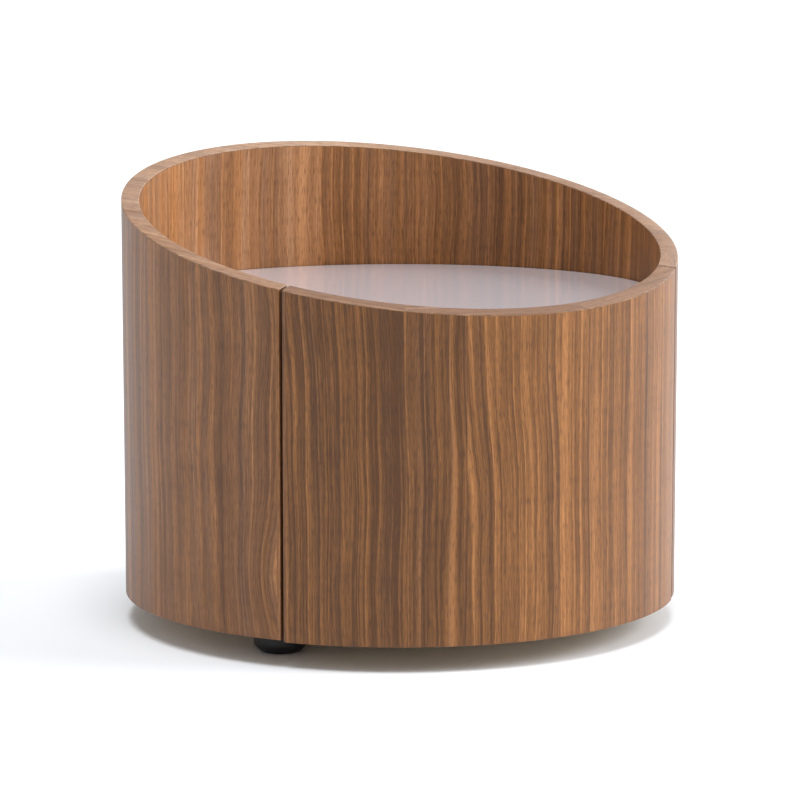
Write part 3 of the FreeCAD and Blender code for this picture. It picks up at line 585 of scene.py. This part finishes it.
def rimSection():
    # closed outline of the band cut through, with a quarter round on both upper edges
    turn = quarterTurn(rimShape["arcSteps"])
    edge = rimShape["round"]
    outerArc = np.stack([outerRadius - edge * (1 - np.cos(turn)), bandRise - edge * (1 - np.sin(turn))], 1)
    innerArc = outerArc[::-1] * [-1, 1] + [outerRadius + innerRadius, 0]
    foot = np.array([[outerRadius, 0.0]])
    profile = np.concatenate([foot, outerArc, innerArc, foot - [cabinet["wall"], 0]])
    return np.stack([profile[:, 0], 1 + 0 * profile[:, 0], profile[:, 1]], 1)


def rimGrain(piece, angle, points, onTop):
    # grain runs straight along each length's direction, on the slant; as painted light, the top pales as the
    # fourth power of the cosine towards the back
    angles = corners(np.broadcast_to(angle[:, None], points.shape[:2])).mean(2)
    which, value = leafAt(rimLengths, angles)
    way = np.radians(value["direction"])[..., None]
    x, y = corners(points[..., 0]), corners(points[..., 1]) * math.hypot(1, slope)
    across = y * np.cos(way) - x * np.sin(way) + which[..., None] * leafSpread
    along = x * np.cos(way) + y * np.sin(way)
    setUv(piece, "grain", np.stack([across, along], -1))
    flat = onTop & np.roll(onTop, -1)
    warmth = np.where(flat, value["warmth"], rimShape["edgeWarmth"])
    # painted light: the band's top is painted paler towards the back
    back = np.clip(-np.cos(np.radians(angles)), 0, 1) ** 4
    light = np.where(flat, value["light"] + back * rimShape["paintedBackLight"], rimShape["edgeDark"])
    setUv(piece, "tone", np.repeat(np.stack([warmth, light], -1)[:, :, None], 4, axis=2))


def rimBand(name, start, end, body, node):
    # a flat strip with rounded edges, carried round on top of the wall; its ends fall away by a quarter
    # round
    joints = {length["start"] for length in rimLengths if start < length["start"] < end}
    ends = np.degrees(rimShape["endRound"] * (1 - np.cos(quarterTurn(rimShape["arcSteps"]))) / outerRadius)
    even = np.linspace(start, end, round((end - start) / rimShape["step"]) + 1)[1:-1]
    angle = np.unique([*even, *joints, *(start + ends), *(end - ends)])
    fromEnd = np.radians(np.minimum(angle - start, end - angle))[:, None] * outerRadius
    section = rimSection()
    onTop = section[:, 2] > rimShape["round"] / 2
    drop = quarterRound(fromEnd, rimShape["round"]) * onTop
    pullOut = quarterRound(fromEnd, rimShape["endRound"])
    points = carryRound(angle[:, None], section, 0.0, pullOut, topDown=drop)
    piece = makeStrip(name, points, sharp=50)
    rimGrain(piece, angle, points, onTop)
    setMaterials(piece, [rimVeneer])
    belongs(piece, body, "walnut_rim", node)


rimBand("shellRim", shellEdge, 360 - shellEdge, "cabinet", "shell_rim_band")
rimBand("frontRim", -frontEdge, frontEdge, "drawer", "front_rim_band")
print("rims ready")

glassLook = {
    "paint": (0.73, 0.70, 0.76),
    "paintShade": (0.97, 0.97, 0.97),  # how the darker clouds compare with the paint
    "edge": (0.42, 0.56, 0.52),
    "edgeShade": (0.80, 0.85, 0.85),
    "bevel": 0.0008,
    "cut": 0.0025,  # the front is cut round a centre set back by this much
    "steps": 360,
}


def paintedGlass():
    # the lilac paint shows through the clear face; faint clouds keep it from being one flat colour
    clear = {"Coat_Weight": 1.0, "Coat_Roughness": 0.025, "Coat_IOR": 1.52}
    material, tree, shader = newMaterial("paintedGlass", Roughness=0.35, **clear)
    clouds = noise(tree, objectPlace(tree), (6, 6, 6), 3.0, 0.5)
    paint = glassLook["paint"]
    tint = ramp(tree, clouds, [(0.3, dimmed(paint, glassLook["paintShade"])), (0.7, paint)])
    tree.links.new(tint, shader.inputs["Base Color"])
    return material


def glassEdge():
    # greenish ground edge: very fine noise runs between a darker and a paler green
    material, tree, shader = newMaterial("glassEdge", Roughness=0.15, Transmission_Weight=0.5, IOR=1.52)
    grind = noise(tree, objectPlace(tree), (900, 900, 900), 2.0, 0.5)
    edge = glassLook["edge"]
    tint = ramp(tree, grind, [(0.3, dimmed(edge, glassLook["edgeShade"])), (0.7, edge)])
    tree.links.new(tint, shader.inputs["Base Color"])
    return material


def glassTop():
    # a disc whose edge is the smaller of two radii: the disc's own, and that of the cut circle set back
    low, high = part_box("glass_top")
    radius, bevel = high.y, glassLook["bevel"]
    turn = np.linspace(0, 2 * np.pi, glassLook["steps"], endpoint=False)
    forward = np.cos(turn) * glassLook["cut"]
    reach = np.sqrt(radius**2 - (np.sin(turn) * glassLook["cut"]) ** 2) - forward
    reach = np.minimum(radius, reach)[:, None]
    inset = np.array([bevel, 0, 0, bevel])
    level = np.array([low.z, low.z + bevel, high.z - bevel, high.z])
    distance = reach - inset
    x, y = distance * np.sin(turn)[:, None], -distance * np.cos(turn)[:, None]
    points = np.stack([x, y, np.broadcast_to(level, x.shape)], -1)
    faces = turnedFaces(*points.shape[:2])
    piece = makeMesh("glassTop", points, faces, sharp=20)
    index = np.ones(len(faces), int)
    index[-2:] = 0
    setMaterials(piece, [paintedGlass(), glassEdge()], index)
    belongs(piece, "cabinet", "painted_glass", "glass_top")


glassTop()
print("glass ready")

def blackPlastic():
    # fine moulded texture with faint flow marks
    material, tree, shader = newMaterial("blackPlastic", IOR=1.46)
    place = objectPlace(tree)
    spark = noise(tree, place, (2600, 2600, 2600), 2.0, 0.6)
    flow = noise(tree, place, (60, 60, 200), 2.0, 0.5)
    tint = ramp(tree, flow, [(0.3, (0.008, 0.008, 0.009)), (0.7, (0.016, 0.016, 0.017))])
    tree.links.new(tint, shader.inputs["Base Color"])
    tree.links.new(rerange(tree, spark, 0.3, 0.7, 0.36, 0.52), shader.inputs["Roughness"])
    bump(tree, shader, spark, 0.00008, 0.7)
    return material


boardLook = {
    "faceDark": (0.52, 0.36, 0.21),
    "faceMid": (0.64, 0.47, 0.30),
    "faceLight": (0.73, 0.57, 0.39),
    "endGrain": (0.36, 0.22, 0.12),
    "layer": 0.0014,
    "broad": (9.0, 2.2),  # scale of the broad streaks and of the fine threads, across and along the grain
    "thread": (420.0, 14.0),
}


def birchPly(name, thin, look):
    # pale birch with long soft streaks; on the edges, where the surface doesn't face along the thin axis,
    # every other layer shows darker end grain. thin is the axis across the board: 0, 1 or 2
    material, tree, shader = newMaterial(name, Coat_Weight=0.15, Coat_Roughness=0.3)
    where = put(tree, "TexCoord", {}).outputs
    place = where["Object"]
    long = 0 if thin == 1 else 1
    broad, thread = ([look[key][axis == long] for axis in range(3)] for key in ("broad", "thread"))
    fine = noise(tree, place, thread, 2.0, 0.6)
    streaks = maths(tree, "MULTIPLY", noise(tree, place, broad, 3.0, 0.55), 0.55)
    total = maths(tree, "MULTIPLY_ADD", fine, 0.45, streaks)
    face = ramp(tree, total, [(0.35, look["faceDark"]), (0.5, look["faceMid"]), (0.65, look["faceLight"])])
    across = put(tree, "SeparateXYZ", {"Vector": place}).outputs[thin]
    dark = everyOther(tree, across, look["layer"], 0.21, 0.27)
    pits = noise(tree, place, (1500, 1500, 1500), 1.0, 0.5)
    endGrain = ramp(tree, pits, [(0.35, look["endGrain"]), (0.65, look["faceDark"])])
    facing = maths(tree, "ABSOLUTE", put(tree, "SeparateXYZ", {"Vector": where["Normal"]}).outputs[thin])
    onEdge = maths(tree, "MULTIPLY", dark, maths(tree, "LESS_THAN", facing, 0.5))
    tree.links.new(blend(tree, onEdge, face, endGrain), shader.inputs["Base Color"])
    tree.links.new(rerange(tree, fine, 0.3, 0.7, 0.42, 0.58), shader.inputs["Roughness"])
    bump(tree, shader, maths(tree, "MULTIPLY_ADD", onEdge, -0.5, fine), 0.0001, 0.4)
    return material


def beech():
    # fine flecks stretched along y, from a darker to a paler beech
    material, tree, shader = newMaterial("beech", Roughness=0.6)
    flecks = noise(tree, objectPlace(tree), (500, 60, 500), 2.0, 0.6)
    colour = ramp(tree, flecks, [(0.35, (0.52, 0.33, 0.19)), (0.65, (0.70, 0.49, 0.31))])
    tree.links.new(colour, shader.inputs["Base Color"])
    bump(tree, shader, flecks, 0.0001, 0.4)
    return material


def metal(name, colour, roughLow, roughHigh, brush):
    # brushed or drawn metal: fine streaks along one direction vary the shine, and broad blotches the tint
    material, tree, shader = newMaterial(name, Metallic=1.0)
    lines = noise(tree, objectPlace(tree), brush, 2.0, 0.6)
    blotch = noise(tree, objectPlace(tree), (90, 90, 90), 2.0, 0.5)
    tint = ramp(tree, blotch, [(0.3, dimmed(colour, (0.85, 0.85, 0.86))), (0.7, colour)])
    tree.links.new(tint, shader.inputs["Base Color"])
    tree.links.new(rerange(tree, lines, 0.3, 0.7, roughLow, roughHigh), shader.inputs["Roughness"])
    bump(tree, shader, lines, 0.00003, 0.4)
    return material


def moulded(name, low, high, roughLow, roughHigh, **sockets):
    # smooth plastic: clouds run between two tints, and a very fine grain varies the shine
    material, tree, shader = newMaterial(name, **sockets)
    cloud = noise(tree, objectPlace(tree), (60, 60, 60), 2.0, 0.5)
    spark = noise(tree, objectPlace(tree), (2200, 2200, 2200), 2.0, 0.6)
    tree.links.new(ramp(tree, cloud, [(0.3, low), (0.7, high)]), shader.inputs["Base Color"])
    tree.links.new(rerange(tree, spark, 0.3, 0.7, roughLow, roughHigh), shader.inputs["Roughness"])
    bump(tree, shader, spark, 0.00005, 0.4)
    return material


# one finish for each slot of the record; boards take the one for the axis across them
milky = {"Transmission_Weight": 0.3}
finishes = {
    "black_plastic": blackPlastic(),
    "walnut_lipping": walnut("edgeBanding", {**walnutLook, "upright": True}),
    "beech": beech(),
    "silicone": moulded("silicone", (0.66, 0.69, 0.69), (0.78, 0.80, 0.80), 0.25, 0.4, **milky),
    "grey_plastic": moulded("greyPlastic", (0.13, 0.135, 0.14), (0.16, 0.165, 0.17), 0.38, 0.5),
    "zinc_steel": metal("zincSteel", (0.66, 0.67, 0.69), 0.28, 0.42, (900, 12, 900)),
    "bearing_steel": metal("bearingSteel", (0.78, 0.78, 0.79), 0.06, 0.12, (600, 600, 600)),
    "spring_steel": metal("springSteel", (0.52, 0.52, 0.53), 0.25, 0.35, (400, 60, 400)),
    "screw_steel": metal("screwSteel", (0.62, 0.61, 0.57), 0.25, 0.40, (500, 500, 500)),
}
plies = [birchPly(f"birchPly{axis}", thin, boardLook) for thin, axis in enumerate("XYZ")]

footShape = {
    "waist": 0.0234,  # radius at the turn between taper and skirt, and the turn's height
    "turn": 0.006,
    "base": 0.017,  # radius on the floor
    "middle": 0.001,  # the sole's profile stops this far from the axis
    "turnRound": 0.007,
    "soleRound": 0.003,
    "arcSteps": 9,
    "steps": 96,
}


def roundedPath(path, radii):
    # each inner corner of the path is replaced by the arc of its radius that touches both runs
    step = np.linspace(0, 1, footShape["arcSteps"])[:, None]
    parts = [path[:1]]
    for corner in range(1, len(path) - 1):
        here, back, ahead = path[corner], path[corner - 1], path[corner + 1]
        inward = (back - here) / np.linalg.norm(back - here)
        onward = (ahead - here) / np.linalg.norm(ahead - here)
        half = np.arccos(np.clip(inward @ onward, -1, 1)) / 2
        radius = radii[corner]
        centre = here + (inward + onward) / np.linalg.norm(inward + onward) * radius / np.sin(half)
        first, last = here + inward * radius / np.tan(half), here + onward * radius / np.tan(half)
        sweep = np.pi - 2 * half
        a, b = first - centre, last - centre
        parts.append(centre + (np.sin((1 - step) * sweep) * a + np.sin(step * sweep) * b) / np.sin(sweep))
    return np.concatenate([*parts, path[-1:]])


def turnedFoot(node):
    # a profile turned about the foot's own axis: straight taper, rounded turn, slanted skirt, rounded sole
    low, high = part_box(node)
    centre = (low + high) / 2
    top = (high.x - low.x) / 2
    shape = footShape
    skirt = [[shape["waist"], shape["turn"]], [shape["base"], 0.0], [shape["middle"], 0.0]]
    outline = roundedPath(np.array([[top, high.z], *skirt]), (0, shape["turnRound"], shape["soleRound"]))
    turn = np.linspace(0, 2 * np.pi, shape["steps"], endpoint=False)[:, None]
    x, y = centre.x + outline[:, 0] * np.cos(turn), centre.y + outline[:, 0] * np.sin(turn)
    points = np.stack([x, y, np.broadcast_to(outline[:, 1], x.shape)], -1)
    name = node.replace("foot_", "foot.").replace("_", ".")
    piece = makeMesh(name, points, turnedFaces(*points.shape[:2], inward=True), sharp=50)
    setMaterials(piece, [finishes["black_plastic"]])
    belongs(piece, "cabinet", "black_plastic", node)

for footNode in ("foot_front_left", "foot_front_right", "foot_rear"):
    turnedFoot(footNode)
print("feet ready")

for part in frame["record"]["subparts"]:
    node = nodes[part["node"]]
    if node.hide_render:
        continue
    low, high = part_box(part["node"])
    thin = int(np.argmin(high - low))
    finish = plies[thin] if part["material_slot"] == "birch_ply" else finishes[part["material_slot"]]
    node.data.materials.clear()
    node.data.materials.append(finish)
print("finishes ready")

studio = {
    "floor": (0.86, 0.89, 0.93, 1),
    "floorReach": 60.0,
    "world": 0.40,
    "lamps": {
        "keyLight": {"from": (0.90, -0.42, 0.60), "strength": 2.3, "spread": 32},
        "rightLight": {"from": (0.85, 0.50, 0.20), "strength": 1.1, "spread": 50},
        "topLight": {"from": (-0.12, -0.16, 1.0), "strength": 2.3, "spread": 30},
        "leftLight": {"from": (-1.0, 0.30, 0.35), "strength": 0.35, "spread": 60},
    },
}


def aimed(place, target):
    # the turn that points a lamp or the camera at its target
    return (Vector(target) - Vector(place)).to_track_quat("-Z", "Y").to_euler()


def softLight(name, settings):
    # a broad far light; spread is the angle it fills
    light = bpy.data.lights.new(name, "SUN")
    light.energy = settings["strength"]
    light.angle = math.radians(settings["spread"])
    lamp = bpy.data.objects.new(name, light)
    bpy.context.scene.collection.objects.link(lamp)
    lamp.location = settings["from"]
    lamp.rotation_euler = aimed(settings["from"], (0, 0, 0))


def studioFloor():
    reach = studio["floorReach"]
    square = [(-reach, -reach, 0), (reach, -reach, 0), (reach, reach, 0), (-reach, reach, 0)]
    floor = makeMesh("floor", square, [(0, 1, 2, 3)])
    setMaterials(floor, [newMaterial("floorPaint", Roughness=0.6, Base_Color=studio["floor"])[0]])


studioFloor()
for lampName, lampSettings in studio["lamps"].items():
    softLight(lampName, lampSettings)
world = bpy.data.worlds.new("studioWorld")
world.use_nodes = True
world.node_tree.nodes["Background"].inputs["Color"].default_value = (1, 1, 1, 1)
world.node_tree.nodes["Background"].inputs["Strength"].default_value = studio["world"]
bpy.context.scene.world = world
bpy.context.scene.view_settings.view_transform = "Standard"

lens = {"at": (-1.307, -2.565, 0.616), "aim": (0, 0, 0.196), "focal": 144.2}
camera = bpy.data.cameras.new("camera")
camera.lens = lens["focal"]
viewer = bpy.data.objects.new("camera", camera)
bpy.context.scene.collection.objects.link(viewer)
viewer.location = lens["at"]
viewer.rotation_euler = aimed(lens["at"], lens["aim"])
bpy.context.scene.camera = viewer
print("studio ready")
